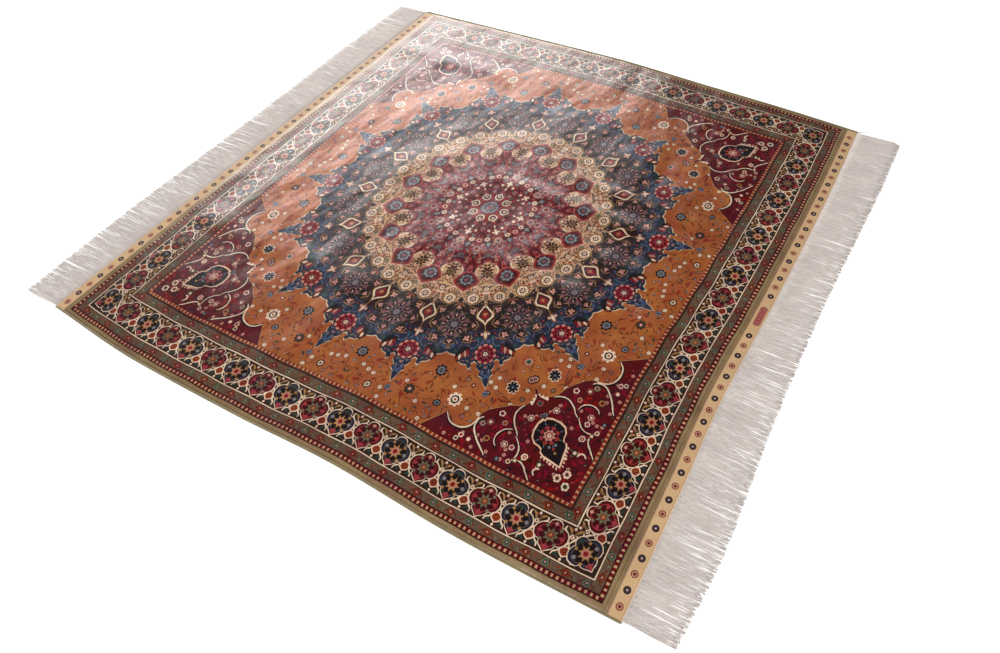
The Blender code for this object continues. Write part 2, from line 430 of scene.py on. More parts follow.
def makeSheet(name, pattern, sheetHeight, silkOf, gridStep=14.0, backStep=60.0):
    # a closed woven sheet: the cut pattern on top, a plain back and the rim between them
    spots, triangles, colours = cutPattern(pattern, gridStep)
    used = np.unique(triangles)
    renumber = np.full(len(spots), -1)
    renumber[used] = np.arange(len(used))
    spots, triangles = spots[used], renumber[triangles]
    loops = rimLoops(triangles)
    rim = [i for loop in loops for i in loop]
    first = np.cumsum([0] + [len(loop) for loop in loops])
    rings = [list(range(a, b)) for a, b in zip(first, first[1:])]
    backIn = np.vstack((spots[rim], gridOver(spots, backStep) + gridShift["back"]))
    faces = [ring if k == 0 else ring[::-1] for k, ring in enumerate(rings)]
    cut = delaunay_2d_cdt([Vector(p) for p in backIn], [], faces, 0, 1e-6, True)
    place = {i: j for j, olds in enumerate(cut[3]) for i in olds}
    back = np.array([tri[::-1] for tri, o in zip(cut[2], cut[5]) if list(o) == [0]])
    backSpots = np.array([tuple(v) for v in cut[0]])
    kept = np.unique(back)
    renumber = np.full(len(backSpots), -1)
    renumber[kept] = np.arange(len(kept)) + len(spots)
    back = renumber[back]
    walls = []
    for ring in rings:
        for a, b in zip(ring, ring[1:] + ring[:1]):
            top1, top2 = rim[a], rim[b]
            low1, low2 = renumber[place[a]], renumber[place[b]]
            walls += [(top2, top1, low1), (top2, low1, low2)]
    topPoints = rugPoints(spots / 1000, sheetHeight(spots))
    lowPoints = rugPoints(backSpots[kept] / 1000, backHeight)
    faces = np.vstack((triangles, back, np.array(walls)))
    mesh = bpy.data.meshes.new(name)
    mesh.from_pydata(np.vstack((topPoints, lowPoints)).tolist(), [], faces.tolist())
    kinds, index = np.unique(colours, return_inverse=True)
    for kind in kinds:
        mesh.materials.append(silkOf(dyeNames[kind]))
    mesh.materials.append(silkOf("back"))
    index = np.concatenate((index, np.full(len(faces) - len(triangles), len(kinds))))
    mesh.polygons.foreach_set("material_index", index)
    mesh.shade_smooth()
    mesh.set_sharp_from_angle(angle=math.radians(40))
    sheet = bpy.data.objects.new(name, mesh)
    bpy.context.scene.collection.objects.link(sheet)
    area = sum(p.area for p in mesh.polygons) / 2
    print(f"{name}: {len(faces)} triangles, {len(mesh.vertices)} points, half surface {area:.4f} m2")
    return sheet


# materials
def newGroup(name, inputs, outputs):
    group = bpy.data.node_groups.new(name, "ShaderNodeTree")
    for label, kind, value in inputs:
        socket = group.interface.new_socket(name=label, in_out="INPUT", socket_type="NodeSocket" + kind)
        socket.default_value = value
    for label, kind in outputs:
        group.interface.new_socket(name=label, in_out="OUTPUT", socket_type="NodeSocket" + kind)
    return group, group.nodes.new("NodeGroupInput"), group.nodes.new("NodeGroupOutput")


def addNode(tree, kind, links=None, **settings):
    node = tree.nodes.new("ShaderNode" + kind)
    for key, value in settings.items():
        setattr(node, key, value)
    for label, value in (links or {}).items():
        socket = node.inputs[label]
        if isinstance(value, bpy.types.NodeSocket):
            tree.links.new(value, socket)
        else:
            socket.default_value = value
    return node


def maths(tree, operation, *values):
    node = addNode(tree, "Math", operation=operation)
    for socket, value in zip(node.inputs, values):
        if isinstance(value, bpy.types.NodeSocket):
            tree.links.new(value, socket)
        else:
            socket.default_value = value
    return node.outputs[0]


def makeSilkTone():
    # the dye taken up unevenly: slow drift from row to row, and each knot a little different
    group, given, out = newGroup(
        "silkTone",
        [("Color", "Color", (0.5, 0.5, 0.5, 1)), ("Drift", "Float", 0.2), ("Knots", "Float", 0.25)],
        [("Color", "Color")],
    )
    place = addNode(group, "TexCoord").outputs["Object"]
    rows = addNode(group, "Mapping", {"Vector": place, "Scale": (1.0, 3.0, 1.0)})
    slow = addNode(group, "TexNoise", {"Vector": rows.outputs[0], "Scale": 5.0, "Detail": 3.0})
    patches = addNode(group, "TexNoise", {"Vector": place, "Scale": 17.0, "Detail": 4.0})
    fine = addNode(group, "TexNoise", {"Vector": place, "Scale": 400.0, "Detail": 2.0})
    shifts = []
    for noise, share in ((slow, "Drift"), (patches, "Drift"), (fine, "Knots")):
        centred = maths(group, "SUBTRACT", noise.outputs[0], 0.5)
        shifts.append(maths(group, "MULTIPLY", centred, given.outputs[share]))
    both = maths(group, "ADD", shifts[0], shifts[1])
    value = maths(group, "ADD", 1.0, maths(group, "MULTIPLY", 2.2, maths(group, "ADD", both, shifts[2])))
    hue = maths(group, "ADD", 0.5, maths(group, "MULTIPLY", 0.16, shifts[1]))
    dyed = {"Color": given.outputs["Color"], "Hue": hue, "Saturation": 1.02, "Value": value}
    toned = addNode(group, "HueSaturation", dyed)
    group.links.new(toned.outputs[0], out.inputs["Color"])
    return group


def makeSilkRelief():
    # rows of knots about a millimetre apart, on a nap that was stroked this way here and that way there
    group, given, out = newGroup(
        "silkRelief",
        [("Pitch", "Float", 0.0011), ("Knots", "Float", 0.00003), ("Nap", "Float", 0.013)],
        [("Normal", "Vector")],
    )
    place = addNode(group, "TexCoord").outputs["Object"]
    apart = addNode(group, "SeparateXYZ", {"Vector": place})
    turn = maths(group, "DIVIDE", math.pi, given.outputs["Pitch"])
    waves = [
        maths(group, "ABSOLUTE", maths(group, "SINE", maths(group, "MULTIPLY", apart.outputs[k], turn)))
        for k in (0, 1)
    ]
    tufts = addNode(group, "TexNoise", {"Vector": place, "Scale": 420.0, "Detail": 2.0})
    fine = maths(group, "ADD", maths(group, "MULTIPLY", waves[0], waves[1]), tufts.outputs[0])
    strokes = addNode(group, "Mapping", {"Vector": place, "Scale": (1.7, 1.0, 1.0)})
    broad = addNode(
        group, "TexNoise", {"Vector": strokes.outputs[0], "Scale": 4.5, "Detail": 3.0, "Roughness": 0.45}
    )
    height = maths(
        group,
        "ADD",
        maths(group, "MULTIPLY", fine, given.outputs["Knots"]),
        maths(group, "MULTIPLY", broad.outputs[0], given.outputs["Nap"]),
    )
    bump = addNode(group, "Bump", {"Height": height, "Strength": 1.0, "Distance": 1.0})
    group.links.new(bump.outputs[0], out.inputs["Normal"])
    return group


silkTone = makeSilkTone()
silkRelief = makeSilkRelief()

# each look: values of the shader, of the uneven tone and of the relief; glint is the least tint of the shine
pileLook = {
    "shader": {"Roughness": 0.30, "Specular IOR Level": 1.0, "Sheen Weight": 0.04, "Sheen Roughness": 0.35},
    "tone": {"Drift": 0.30, "Knots": 0.34},
    "relief": {},
    "glint": 0.26,
}


def silkMaterial(name, colour, look):
    material = bpy.data.materials.new(name)
    material.use_nodes = True
    tree = material.node_tree
    shader = tree.nodes["Principled BSDF"]
    toned = addNode(tree, "Group", node_tree=silkTone)
    relief = addNode(tree, "Group", node_tree=silkRelief)
    toned.inputs["Color"].default_value = (*tint(*colour), 1)
    for node, values in ((toned, look["tone"]), (relief, look["relief"]), (shader, look["shader"])):
        for label, value in values.items():
            node.inputs[label].default_value = value
    if "glint" in look:
        # silk throws light back in the colour of its dye, so dark knots stay dark
        glint = [min(1.0, look["glint"] + 2.0 * v) for v in tint(*colour)]
        shader.inputs["Specular Tint"].default_value = (*glint, 1)
        shader.inputs["Sheen Tint"].default_value = (*glint, 1)
    tree.links.new(toned.outputs["Color"], shader.inputs["Base Color"])
    tree.links.new(relief.outputs["Normal"], shader.inputs["Normal"])
    return material


def dyedSilk(kind, look):
    # returns a function that gives this kind of silk in any dye
    def silkOf(dye):
        name = f"{kind}_{dye}"
        return bpy.data.materials.get(name) or silkMaterial(name, dyes[dye], look)

    return silkOf


pileSilk = dyedSilk("silk", pileLook)
print("dyes ready")

# field: a copper ground inside a narrow guard stripe
field = []
seamHalf = 606.0
lay(field, [("bark", plate(seamHalf)), ("rust", plate(604)), ("bark", plate(596.8)), ("copper", plate(596))])


def sideWays(count, pitch, out, first=0.0):
    # places along all four sides, facing outwards: u runs along the side
    places = []
    for turn in quarterTurns:
        for k in range(count):
            u = (k - (count - 1) / 2) * pitch + first
            places.append((turn, turn @ np.array((u, out))))
    return places


def spokes(shapes, radius, aside=0.0, start=0.0, tilt=0.0, pairs=False, count=16):
    lay(field, shapes, wheel(count, radius, aside, start, tilt, pairs))


def betweenSpokes(shapes, radius, aside=0.0, tilt=0.0, pairs=False):
    spokes(shapes, radius, aside, 11.25, tilt, pairs)


def outFrom(radius, degrees):
    a = math.radians(degrees)
    return radius * math.cos(a), radius * math.sin(a)


# small ivory bars with a red knot between them, all round
waisted = np.array([(-2.6, -3), (2.6, -3), (1.2, 0), (2.6, 3), (-2.6, 3), (-1.2, 0)])
lay(field, [("cream", waisted)], sideWays(107, 11.2, 600.3))
lay(field, [("crimson", diamond(3.4, 4.4))], sideWays(106, 11.2, 600.3))

sprig = [("olive", leaf(7, 2.6, 2)), ("bark", leaf(-6, 2.4, 2))]
redBud = [("bark", leaf(8, 4.4, 1)), ("rust", leaf(6.4, 2.8, 1))]
paleBud = [("bark", disc(3.4, 6)), ("blush", disc(2.3, 5))]
paleFlower = [("bark", petals(5, 5.4, 3.4))] + spot(5, 4.3, 2.4, "ivory", "crimson", 1.3)
blueBud = [("bark", leaf(8, 4.6, -1)), ("mist", leaf(6.4, 3.0, -1))]
greenLeaf = [("bark", leaf(10, 4.6, 3)), ("teal", leaf(9, 3.0, 3))]


def inCopper():
    while True:
        x = random.uniform(0, 592)
        y = random.uniform(-592, 0)
        if x > -y and math.hypot(x, y) > 505:
            return x, y


tell("field ground laid", field)

# main flowers of the copper field, at the near right corner: x, distance towards the near side, motif, size
blueRing = bloom(15, ("night", "mist", "navy", "sage"))
whiteRing = bloom(17.5, ("ivory", "night", "ivory", "rust"))
starRing = [("ivory", petals(8, 16.5, 11)), ("night", petals(8, 14.2, 8.5))]
starRing += [("navy", disc(6, 8)), ("mist", disc(2.4, 6))]
redRing = [("rust", petals(8, 15, 9)), ("blush", petals(8, 11, 7))]
redRing += [("sage", disc(7, 8)), ("teal", disc(4.4, 6))]
copperFlowers = [
    (*outFrom(508, 22.5), blueRing, 15),
    (360, 360, redRing, 15),
    (*outFrom(578, 27.2), whiteRing, 18),
    (430, 362, starRing, 16),
    (*outFrom(562, 16.5), bloom(13, ("bark", "teal", "rose", "ivory")), 13),
    (539, 233, bloom(10, ("night", "mist", "navy")), 11),
    (459, 263, bloom(7.5, ("bark", "blush", "crimson"), 6), 8),
    (467, 282, bloom(6.5, ("bark", "rose", "ivory"), 5), 7),
    (301, 539, bloom(7, ("bark", "blush", "crimson"), 6), 8),
    (390, 396, bloom(11, ("bark", "blush", "teal", "rose"), 6), 12),
    (468, 319, bloom(7, ("bark", "teal", "ivory"), 6), 8),
    (445, 396, bloom(7, ("bark", "sage", "rose"), 6), 8),
    (280, 557, bloom(7, ("bark", "teal", "gold"), 6), 8),
    (508, 0.0, blueRing, 15),
    (572, 66, bloom(11, ("bark", "ivory", "sage", "rose"), 6), 12),
]
taken = []
for x, w, shapes, size in copperFlowers:
    taken.append((x, -w, size * 0.6))
    taken.append((w, -x, size * 0.6))
rustLeaves = [[("rust", leaf(14, 8, 5))], [("rust", leaf(-12, 6, 4))]]
copperKinds = rustLeaves + [sprig, redBud, redBud, paleBud, paleFlower, blueBud, greenLeaf, sprig]
vine = [("bark", ribbon([(-14, -6), (-6, 4), (4, 3), (10, -6), (18, -4)], 1.5, 2))]
sprinkle(field, [vine], eightWays, 500, 26, inCopper)
sprinkle(field, [moved(kind, size=1.3) for kind in copperKinds], eightWays, 1500, 13.5, inCopper, taken)
for x, w, shapes, size in copperFlowers:
    lay(field, shapes, corners(x, w, math.degrees(math.atan2(-w, x))))
bigLeaf = [("bark", leaf(34, 15, 12)), ("rust", leaf(31, 11, 12)), ("copper", leaf(20, 5, 8))]
lay(field, moved(bigLeaf, 0, -10), corners(466, 352, -70))

# blue zone, with its points between the spokes
blueHalf = [
    (0, 460), (1.2, 466), (2.6, 468), (3.8, 474), (3.9, 483), (4.8, 490), (6.2, 492), (6.7, 503), (7.5, 499),
    (7.4, 489), (8.2, 484), (9.0, 489), (8.8, 498), (9.3, 506), (9.9, 512), (9.5, 521), (10.3, 528),
    (10.6, 541), (11.25, 556),
]
lay(field, edged(blueHalf, (("ivory", 1.5), ("sage", -0.3), ("navy", -2.2))))


def inWedge(low, high, widest=11.0, narrowest=0.4):
    def pick():
        a = math.radians(random.uniform(narrowest, widest))
        r = math.sqrt(random.uniform(low * low, high * high))
        return r * math.cos(a), r * math.sin(a)

    return pick


wedgeWays = [(spin(22.5 * k) @ np.diag((1, s)), np.zeros(2)) for k in range(16) for s in (1, -1)]
blueKinds = [
    [("blue", leaf(17, 8.5, 4))],
    [("blue", leaf(-15, 7, 3)), ("mist", leaf(9, 2.6, 2))],
    [("wine", leaf(14, 7, 3)), ("rose", leaf(10, 3.4, 2))],
    [("rose", leaf(10, 4.4, 2))],
    [("teal", leaf(16, 7.5, -4))],
    [("lilac", ribbon([(-7, 0), (-2, 4), (3, 1), (6, 5)], 1.7, 2))],
    [("rust", leaf(8, 3.6, 2)), ("blush", leaf(5, 1.8, 1))],
    [("night", leaf(14, 6, 4))],
    [("sage", leaf(12, 4.2, 3))],
]
blueReach = np.array(sorted(blueHalf)).T


def inBlue():
    # well inside the blue outline, so that no leaf crosses it
    pick = inWedge(398, 545, 11.0, 0.3)
    while True:
        x, y = pick()
        if math.hypot(x, y) < np.interp(math.degrees(math.atan2(y, x)), *blueReach) - 7:
            return x, y


sprinkle(field, blueKinds, wedgeWays, 400, 8.8, inBlue)
tell("blue zone laid", field)

# split leaves beside each spoke and a round red flower between the spokes
halfLeaf = [("night", ribbon([(-19, -12), (-6, -12), (8, -2), (15, 13)], 21, 3, 0.2))]
for k, dye in enumerate(("crimson", "blush", "rust", "ivory", "rust")):
    halfLeaf += moved([(dye, leaf(22 - 2 * k, 6.2, -3))], -13 + 6 * k, -15 + 3.4 * k, -8 - 9 * k)
spokes(halfLeaf, 468, aside=4.9, tilt=18)
redFlower = [
    ("night", petals(8, 29, 25)),
    ("blush", petals(10, 26.5, 21)),
    ("crimson", petals(10, 23, 19, turn=math.pi / 10)),
    ("wine", petals(8, 17, 12)),
    ("rose", petals(8, 13.4, 9.5, turn=math.pi / 8)),
    ("night", disc(8.6, 8)),
    ("ivory", petals(5, 6.4, 3.4)),
    ("night", disc(2.2, 5)),
]
betweenSpokes(redFlower, 467)
betweenSpokes([("blush", leaf(9, 4)), ("rose", leaf(7, 2.4))], 497)
betweenSpokes([("blue", leaf(20, 8, 4)), ("mist", leaf(12, 2.4, 3))], 506, aside=0.75, tilt=12)
betweenSpokes(bloom(8, ("blue", "mist", "night"), 6), 569)

# dark ground with the clusters
lay(field, [("aubergine", disc(406, 64))])
fleur = paired([
    (0, -9), (1.6, -5), (3.2, -2.6), (7.6, -4.4), (8.6, 0.2), (5.6, 1.8), (3.4, 1.4), (3.6, 5), (0, 11),
])
shield = paired([(3.5, -15), (9.5, -11), (13.5, -4), (14.5, 3.5), (11.5, 6), (7.5, 8.5), (4.2, 12), (0, 18)])
clusterOut = 384  # millimetres from the rug's middle
clusterEdge = [
    (0, 69), (4, 64), (10, 61), (14.5, 55), (15, 48), (12, 42), (14.5, 37), (20, 34.5), (26, 36), (32, 39),
    (32, 45), (30, 51), (33.5, 55), (40, 57), (45, 61),
]
spokes(edged(clusterEdge, (("gold", 0.6), ("bark", -1.2), ("night", -3.0)), 4, 45.0), clusterOut)
curl = ribbon([(0, 0), (1.4, 6), (6, 9), (9.4, 5.4), (6.4, 2.6)], 1.7, 2, 0.5)


def about(shapes, radius, angle, turn=0.0, size=1.0):
    # shapes set round a cluster's middle, facing out
    a = math.radians(angle)
    return moved(shapes, -radius * math.sin(a), radius * math.cos(a), angle + turn, size)


cluster = []
for k in range(8):
    angle = 45.0 * k
    out, size = (53, 1.0) if k % 2 else (47, 0.74)
    cluster += about([("blush", fleur), ("wine", diamond(2.4, 5))], out, angle, size=size)
    for side in (1, -1):
        flip = [("lilac", curl * (side, 1))]
        cluster += about(flip, 11, angle, -14 * side, 0.86)
        cluster += about([("rose", curl * (side, 1))], 21, angle + 22.5, 30 * side, 0.8)
        cluster += about(flip, 29, angle, -52 * side, 0.92)
        cluster += about([("clay", leaf(8, 3, 2 * side))], 36, angle + 15 * side, -30 * side)
    cluster += about([("clay", ribbon([(0, 0), (1, 8), (-1, 17), (0, 24)], 1.5, 1))], 12, angle)
    cluster += about([("blush", leaf(7, 3.4)), ("ivory", disc(1.5, 5))], 24, angle)
    cluster += about([("blush", leaf(6, 3))], 17, angle + 22.5)
    cluster += about(spot(4, 4.2, 2, "lilac", "night", 1.2), 31, angle + 22.5)
cluster += [("lilac", spikes(8, 14, 4)), ("mist", spikes(8, 10, 4.6, math.pi / 8))]
cluster += [("night", disc(3.4, 8)), ("blush", disc(1.8, 5))]
spokes(cluster, clusterOut)
spokes([("lilac", leaf(10, 3.2, 2)), ("clay", leaf(-8, 3, 2))], 432, aside=2.2, tilt=40)
betweenSpokes(stacked(fleur, (("night", 1.7), ("blush", 1.4), ("ivory", 0.9))), 416)
betweenSpokes([("clay", ribbon([(2, -12), (5, -2), (3, 8), (9, 15)], 1.7, 2))], 416, pairs=True)
tell("clusters laid", field)

# pendants and the ivory ring
pendant = paired([(4, -22), (9, -14), (17, -4), (21, 4), (20, 11), (13, 18), (6, 24), (2.4, 30), (0, 36)])
pendants = stacked(pendant, (("gold", (1.06, 1.05)), ("ivory", (0.95, 0.97)), ("bark", (0.76, 0.80))))
pendants += [("crimson", pendant * (0.5, 0.55) + (0, 2)), ("gold", fleur * 0.7 + (0, 2))]
betweenSpokes(pendants, 356)
betweenSpokes([("gold", np.array([(-0.8, 0), (0.8, 0), (0.6, 26), (-0.6, 26)]))], 392)
ringEdge = [(0, 306), (2, 322), (5, 332), (8, 325), (10, 317), (11.25, 338)]
lay(field, edged(ringEdge, (("sage", 1.5), ("bark", 0.3), ("cream", -1.3))))
ringKinds = [
    spot(5, 4.6, 3.0, "bark", "ivory", 1.7, 5),
    spot(4, 4.4, 2.6, "wine", "ivory", 1.3),
    [("bark", leaf(9, 4, 2))],
    [("bark", leaf(9, 4.2, -2))],
    [("rust", leaf(10, 4.6, -2))],
    [("bark", ribbon([(-6, -1), (-2, 3), (3, 0), (6, 4)], 1.8, 2))],
    [("rust", petals(4, 4.6, 3.0))],
    [("night", disc(3.0, 6)), ("mist", disc(1.3, 4))],
    spot(4, 3.6, 2.0, "ivory", "bark", 1.2),
]
sprinkle(field, ringKinds, wedgeWays, 2300, 6.9, inWedge(234, 328))
lobe = [
    ("gold", disc(18.4, 14)), ("bark", disc(17, 14)), ("cream", disc(15.2, 14)), ("ivory", petals(6, 14, 8)),
    ("bark", petals(6, 9.6, 5.4)), ("ivory", disc(4.6, 8)), ("crimson", disc(2.2, 6)),
]
spokes(lobe, 311, aside=5.4)
spokes([("bark", leaf(9, 3.4, 3)), ("rust", leaf(5, 1.8, 1))], 286, aside=3.4, tilt=-30)
betweenSpokes([("bark", petals(6, 9, 6))] + spot(6, 6.6, 4, "ivory", "crimson", 2.6, 5), 284)
spokes(spot(5, 7.4, 5, "sage", "wine", 3.4, 6) + [("ivory", disc(1.5, 4))], 293, aside=2.6)
tell("ivory ring laid", field)

# cartouches and diamonds at the inner edge of the ring
cartouche = paired([(6, -30), (12, -22), (24, -18), (31, -8), (30, 4), (22, 11), (12, 15), (6, 22), (0, 29)])
cartoucheDyes = (("copper", 1.13), ("rust", 1.04), ("ivory", 0.95), ("gold", 0.82), ("cream", 0.76))
betweenSpokes(stacked(cartouche, cartoucheDyes), 229)
goldFlower = [("bark", petals(8, 15, 9))] + spot(6, 8, 5, "gold", "night", 5.0, 8) + [("rust", disc(2.2, 5))]
betweenSpokes(goldFlower, 233)
betweenSpokes([("bark", leaf(10, 4.5, 3)), ("rust", leaf(6, 2, 2))], 222, aside=4.2, tilt=-40)
betweenSpokes([("bark", leaf(9, 3.6, -3)), ("sage", leaf(5, 1.6, -1))], 246, aside=3.2, tilt=30)
betweenSpokes([("wine", leaf(8, 3.4, 2))], 210, aside=1.4, tilt=24)
for route in ([(3, -16), (9, -12), (15, -9), (21, -10)], [(6, 14), (12, 9), (19, 5), (24, 6)]):
    betweenSpokes([("bark", ribbon(route, 1.8, 2))], 233, pairs=True)
kite = paired([(0, -32), (9, -26), (24, -12), (33, 0), (27, 12), (14, 22), (6, 28), (0, 33)])
spokes(stacked(kite, (("blush", 1.10), ("rust", 1.04), ("crimson", 0.92), ("wine", 0.80))), 255)
spokes(bloom(17, ("mist", "night", "lilac", "rose")), 252)
spokes([("teal", leaf(11, 5, 2)), ("rose", leaf(7, 3, 2))], 262, aside=3.4, tilt=20)

# the crimson star
starEdge = [(0, 229), (3, 222), (6, 208), (9, 199), (11.25, 196)]
lay(field, edged(starEdge, (("blush", 1.4), ("crimson", -0.4))))
darkLeaf = [("wine", leaf(16, 8, 5)), ("wine", leaf(-12, 6, 4))]
vineThin = [("wine", ribbon([(-12, 0), (-4, 6), (5, 1), (12, 6)], 1.6, 2)), ("rose", leaf(6, 3, 1))]
starKinds = [
    darkLeaf,
    darkLeaf,
    vineThin,
    [("rose", leaf(9, 4.5, 2)), ("wine", leaf(5, 2, 1))],
    [("night", leaf(10, 4.2, 3))],
    [("blush", ribbon([(-6, 0), (-2, 3), (3, 0), (6, 3)], 1.3, 2))],
    [("night", petals(4, 4.4, 3)), ("mist", petals(4, 3.4, 2))],
    [("night", disc(3.4, 6)), ("blush", disc(2.2, 5))],
    [("sage", leaf(7, 3, -2))],
]
sprinkle(field, starKinds, wedgeWays, 1400, 8.9, inWedge(66, 218))
betweenSpokes([("wine", leaf(15, 7, 4)), ("rose", leaf(8, 2.6, 2))], 50, aside=3, tilt=20)
starFlower = [("night", petals(5, 5.2, 3.6))] + spot(5, 4.2, 2.9, "blush", "teal", 1.9, 5)
for radius, aside, first in ((204, 2.4, 11.25), (186, 5.2, 0.0), (162, 4.6, 11.25), (138, 5.6, 0.0)):
    spokes(starFlower, radius, aside, first)
twig = ribbon([(-3, -11), (2, -5), (-1, 3), (4, 10)], 1.5, 2, 0.4)
for radius, turn, size in ((168, 30, 1.0), (142, -35, 0.8), (108, 25, 0.7)):
    spokes([("blush", twig * size)], radius, pairs=True, aside=3.6, tilt=turn)
tiny = [("night", petals(6, 6.6, 4.6))] + spot(6, 5.2, 3.4, "blush", "teal", 2.2, 5)
spokes(tiny, 195, aside=4.5)
lilacFlower = [("night", petals(8, 11.5, 8.5))] + spot(8, 9.4, 6, "lilac", "night", 5, 8)
betweenSpokes(lilacFlower + [("sage", disc(3, 6))], 176)
spokes(bloom(15, ("lilac", "blush", "wine", "rose")), 151)
paleStar = [("night", petals(6, 9.6, 6.6))] + spot(6, 8.4, 5, "ivory", "crimson", 2.6, 6)
spokes(paleStar, 118, aside=12.5, count=8)
palmette = [("night", shield * 1.0), ("blush", shield * 0.85), ("mist", fleur * 0.9), ("wine", disc(2.4, 6))]
spokes(palmette, 129, count=8)
spokes(bloom(11, ("rose", "ivory", "crimson"), 6), 120, start=22.5, count=8)
for radius, first, size in ((137, 11.25, 0.8), (104, 11.25, 0.66), (168, 0.0, 0.7)):
    spokes([("night", fleur * size * 1.25), ("mist", fleur * size)], radius, start=first)
crossFleur = paired([(1, -11), (3.5, -7), (2, -2.5), (9, -2), (9.5, 2.5), (3, 3.5), (4, 8), (0, 11)])
spokes([("wine", crossFleur * 1.2), ("ivory", crossFleur)], 96, count=8)
spokes([("wine", disc(4.4, 6)), ("ivory", petals(5, 4.6, 2.8))], 88, aside=11, count=8)
spokes([("wine", leaf(14, 8)), ("ivory", leaf(11, 5))], 71, count=8)
spokes(bloom(8.5, ("lilac", "blush", "wine"), 6), 80, start=22.5, count=8)
spokes(tiny, 62, start=22.5, count=8)
shields = stacked(shield, (("night", 0.95), ("ivory", 0.84), ("wine", 0.62)))
spokes(shields + [("ivory", fleur * 0.55), ("rose", disc(2, 5))], 44, count=8)
middleFlower = [
    ("navy", petals(16, 26, 22)), ("mist", petals(16, 23, 20)), ("lilac", petals(8, 19, 13)),
    ("night", petals(8, 14, 9)), ("mist", petals(8, 11.5, 7.5)), ("lilac", disc(7, 8)),
    ("rose", disc(4.5, 8)),
]
lay(field, middleFlower)
tell("middle laid", field)


# corners, drawn at the near right one as (x, distance towards the near side)
def near(points):
    return np.array(points, float) * (1, -1)


cornerHalf = [
    (597, 232), (570, 250), (545, 265), (554, 274), (561, 287), (562, 298), (558, 316), (548, 329),
    (534, 335), (522, 335), (509, 338), (498, 345), (483, 362), (468, 381), (460, 400), (449, 411),
    (442, 417), (431, 418), (420, 414), (413, 410),
]
cornerEdge = near(cornerHalf + [(406, 406)] + [(w, x) for x, w in cornerHalf[::-1]] + [(597, 597)])
lay(field, [("gold", cornerEdge + (-1.2, 1.2)), ("garnet", cornerEdge)], fourWays)


def inCorner():
    while True:
        x = random.uniform(440, 592)
        w = random.uniform(270, x)
        if x + w > 830 and not (x < 560 and w < 335) and x + 0.75 * w > 790:
            return x, -w


cornerKinds = [
    [("wine", leaf(14, 7.5, 4))],
    [("aubergine", leaf(14, 6, -5))],
    [("crimson", leaf(18, 8.5, 5)), ("crimson", leaf(-12, 6, 4))],
    [("crimson", leaf(16, 7.5, -5))],
    [("rose", leaf(8, 4, 2)), ("crimson", leaf(5, 2, 1))],
    [("night", leaf(9, 5, 2)), ("sage", leaf(6, 2.6, 2))],
    spot(5, 4.6, 3, "blush", "wine", 1.5),
    [("crimson", ribbon([(-10, 0), (-3, 5), (4, 1), (10, 5)], 1.8, 2))],
]
sprinkle(field, cornerKinds, eightWays, 900, 10.5, inCorner)
scrolls = [
    (4.6, [(545, 266), (557, 279), (562, 296), (558, 316), (546, 330), (530, 335), (521, 335)]),
    (5.0, [(516, 345), (526, 338), (545, 339), (560, 351), (573, 366), (585, 385), (590, 391)]),
    (4.2, [(454, 410), (462, 404), (477, 400), (492, 404), (505, 413), (515, 424), (523, 430)]),
    (3.8, [(515, 414), (520, 401), (532, 393), (545, 391), (556, 395), (562, 402)]),
    (3.8, [(525, 428), (535, 441), (546, 449), (560, 452), (572, 449), (580, 444)]),
    (4.2, [(568, 455), (567, 466), (573, 477), (584, 488), (595, 500)]),
]
for width, route in scrolls:
    shadow = ribbon(near(route) + (1.8, -1.8), width + 3.0, 3, 0.5)
    lay(field, [("night", shadow), ("ivory", ribbon(near(route), width * 0.72, 3, 0.4))], eightWays)
saw = [
    (447, 419), (440, 414), (438, 420), (431, 415), (429, 420), (422, 415), (420, 419), (412, 411),
    (408, 408), (414, 416), (430, 422), (447, 423),
]
lay(field, [("ivory", near(saw))], eightWays)
cornerFlowers = (
    (577, 444, 6, ("ivory", "rust"), 5), (569, 455, 5, ("gold", "ivory"), 5),
    (550, 417, 9, ("blush", "wine", "ivory"), 6), (549, 434, 7, ("ivory", "rose"), 5),
    (556, 377, 8, ("gold", "rust", "wine"), 6), (509, 392, 7, ("blush", "rust"), 5),
    (492, 375, 8, ("ivory", "rose", "wine"), 5), (520, 364, 9, ("rose", "teal", "ivory"), 6),
    (475, 436, 9, ("blush", "teal", "ivory"), 6), (573, 323, 7, ("ivory", "rose"), 5),
    (575, 343, 7, ("rose", "ivory"), 5), (554, 468, 8, ("ivory", "rust", "blush"), 6),
    (556, 503, 6, ("sage", "ivory"), 5), (584, 317, 6, ("ivory", "wine"), 4),
    (530, 351, 8, ("sage", "blush", "wine"), 6), (565, 550, 9.5, ("ivory", "blush", "bark"), 6),
    (573, 573, 9.5, ("ivory", "sage", "bark"), 6), (436, 436, 9, ("rose", "teal"), 4),
    (460, 455, 5, ("mist", "wine"), 5), (545, 522, 6, ("rose", "ivory"), 5),
    (583, 420, 5, ("teal", "mist"), 5),
)
for x, w, radius, colours, count in cornerFlowers:
    rim = petals(count, radius + 1.4, radius * 0.7 + 1.4)
    lay(field, [("night", rim)] + bloom(radius, colours, count), corners(x, w))
lay(field, [("ivory", ribbon([(-8, 4), (-7, -5), (0, -9), (7, -5)], 3.4, 3, 0.5))], corners(573, 507))

# heart cartouche on the diagonal, facing the corner
heart = paired([
    (0, -46), (4, -50), (16, -45), (30, -32), (37, -18), (35, -4), (27, 7), (25, 14), (29, 19), (26, 30),
    (19, 40), (9, 54), (0, 67),
])


def onDiagonals(out):
    return [(m @ spin(-135), m @ np.array((out, -out))) for m in quarterTurns]


